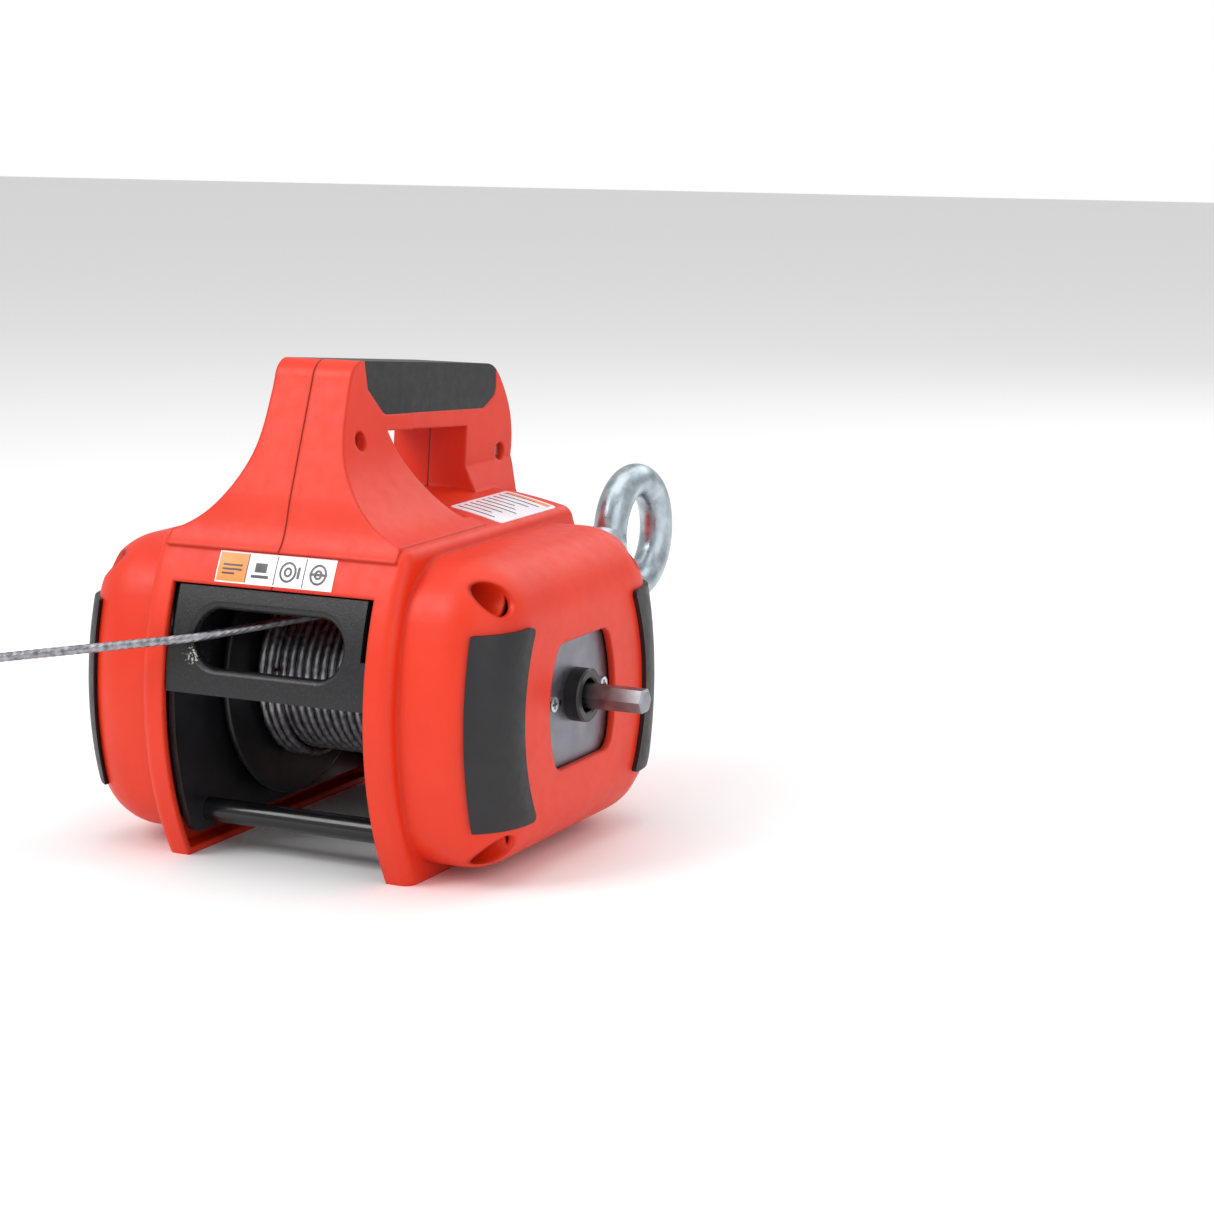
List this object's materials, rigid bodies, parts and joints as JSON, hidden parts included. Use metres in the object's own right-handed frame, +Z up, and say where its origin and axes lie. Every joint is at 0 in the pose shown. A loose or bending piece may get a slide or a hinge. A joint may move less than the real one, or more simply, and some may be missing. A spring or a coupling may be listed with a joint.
{
  "type": "portable drill-powered winch",
  "caption": "Hand-held wire rope winch with moulded shell, top handle, rope drum behind a slotted fairlead, hex drill input, rear anchor eye and rope hook.",
  "frame": {"origin": "under the drum axis and midway between the side bulges, on the plane the shell stands on", "axes": "+X along the drum axis towards the drill input, -Y towards the rope side, +Z up"},
  "size_m": [0.3739, 0.379, 0.2156],
  "materials": {
    "shell_red": "fine moulded texture",
    "rubber": "matte",
    "black_steel": "black satin coating",
    "fairlead_black": "wrinkled powder coat",
    "brushed_plate": "brushed",
    "zinc_bolt": "bright zinc",
    "collar_black": "black oxide",
    "bronze": "machined",
    "gear_steel": "machined",
    "cast_housing": "as cast",
    "friction": "pressed friction material",
    "wire_rope": "bright galvanised strands",
    "ferrule_aluminium": "pressed",
    "forged_zinc": "forged, zinc plated",
    "label": "printed film"
  },
  "bodies": {
    "root": {"shell_left": "shell_red", "shell_right": "shell_red", "grip_left": "rubber", "grip_right": "rubber", "bumper_front_left": "rubber", "bumper_rear_left": "rubber", "bumper_front_right": "rubber", "bumper_rear_right": "rubber", "frame_plate_left": "black_steel", "frame_plate_right": "black_steel", "tie_rod_front": "black_steel", "tie_rod_rear": "black_steel", "tie_rod_bolts": "zinc_bolt", "rear_anchor_bar": "black_steel", "fairlead": "fairlead_black", "cover_plate_left": "brushed_plate", "cover_plate_right": "brushed_plate", "input_collar": "collar_black", "cover_screws": "zinc_bolt", "shell_screws": "zinc_bolt", "drum_bush_left": "bronze", "drum_bush_right": "bronze", "ring_gear_housing": "gear_steel", "gear_cover": "cast_housing", "brake_housing": "cast_housing", "brake_friction_discs": "friction", "input_bearing": "gear_steel", "shaft_bearing": "bronze", "front_label": "label", "deck_label": "label", "free_rope": "wire_rope", "ferrule": "ferrule_aluminium", "thimble": "forged_zinc"},
    "eye": {"anchor_eye": "forged_zinc", "anchor_nut": "zinc_bolt"},
    "drum": {"drum_core": "black_steel", "flange_left": "black_steel", "flange_right": "black_steel", "wound_rope": "wire_rope", "rope_clamp_screw": "zinc_bolt", "carrier_output": "gear_steel"},
    "carrier_one": {"carrier_first": "gear_steel"},
    "input": {"drive_shaft": "gear_steel", "brake_rotor": "gear_steel"},
    "hook": {"hook": "forged_zinc", "hook_pin": "forged_zinc"},
    "latch": {"hook_latch": "forged_zinc"},
    "planet_first_a": {"planet_first_a": "gear_steel"},
    "planet_first_b": {"planet_first_b": "gear_steel"},
    "planet_first_c": {"planet_first_c": "gear_steel"},
    "planet_second_a": {"planet_second_a": "gear_steel"},
    "planet_second_b": {"planet_second_b": "gear_steel"},
    "planet_second_c": {"planet_second_c": "gear_steel"}
  },
  "joints": [
    {"name": "drum_spin", "type": "hinge", "parent": "root", "child": "drum", "pos_m": [0, 0, 0.072], "axis": [1, 0, 0], "continuous": true},
    {"name": "first_carrier_spin", "type": "hinge", "parent": "root", "child": "carrier_one", "pos_m": [-0.0705, 0, 0.072], "axis": [1, 0, 0], "continuous": true},
    {"name": "input_spin", "type": "hinge", "parent": "root", "child": "input", "pos_m": [0.1, 0, 0.072], "axis": [1, 0, 0], "continuous": true},
    {"name": "eye_swivel", "type": "hinge", "parent": "root", "child": "eye", "pos_m": [0.0605, 0.058, 0.1198], "axis": [0, 1, 0], "continuous": true},
    {"name": "hook_swing", "type": "hinge", "parent": "root", "child": "hook", "pos_m": [-0.16721, -0.16518, 0.08619], "axis": [-0.0793, -0.0458, 0.9958], "range_deg": [-35, 35]},
    {"name": "latch_press", "type": "hinge", "parent": "hook", "child": "latch", "pos_m": [-0.19973, -0.18396, 0.09057], "axis": [-0.5, 0.866, 0], "range_deg": [-16, 0], "stiffness_Nm_per_rad": 0.02, "springref_deg": 17.19},
    {"name": "planet_first_a_spin", "type": "hinge", "parent": "carrier_one", "child": "planet_first_a", "pos_m": [-0.0785, 0, 0.0945], "axis": [1, 0, 0], "continuous": true},
    {"name": "planet_first_b_spin", "type": "hinge", "parent": "carrier_one", "child": "planet_first_b", "pos_m": [-0.0785, -0.01949, 0.06075], "axis": [1, 0, 0], "continuous": true},
    {"name": "planet_first_c_spin", "type": "hinge", "parent": "carrier_one", "child": "planet_first_c", "pos_m": [-0.0785, 0.01949, 0.06075], "axis": [1, 0, 0], "continuous": true},
    {"name": "planet_second_a_spin", "type": "hinge", "parent": "drum", "child": "planet_second_a", "pos_m": [-0.0625, 0, 0.0945], "axis": [1, 0, 0], "continuous": true},
    {"name": "planet_second_b_spin", "type": "hinge", "parent": "drum", "child": "planet_second_b", "pos_m": [-0.0625, -0.01949, 0.06075], "axis": [1, 0, 0], "continuous": true},
    {"name": "planet_second_c_spin", "type": "hinge", "parent": "drum", "child": "planet_second_c", "pos_m": [-0.0625, 0.01949, 0.06075], "axis": [1, 0, 0], "continuous": true}
  ],
  "couplings": [
    {"joint": "first_carrier_spin", "follows": "drum_spin", "ratio": 5},
    {"joint": "input_spin", "follows": "drum_spin", "ratio": 25},
    {"joint": "planet_first_a_spin", "follows": "drum_spin", "ratio": -13.333},
    {"joint": "planet_first_b_spin", "follows": "drum_spin", "ratio": -13.333},
    {"joint": "planet_first_c_spin", "follows": "drum_spin", "ratio": -13.333},
    {"joint": "planet_second_a_spin", "follows": "drum_spin", "ratio": -2.6667},
    {"joint": "planet_second_b_spin", "follows": "drum_spin", "ratio": -2.6667},
    {"joint": "planet_second_c_spin", "follows": "drum_spin", "ratio": -2.6667}
  ]
}
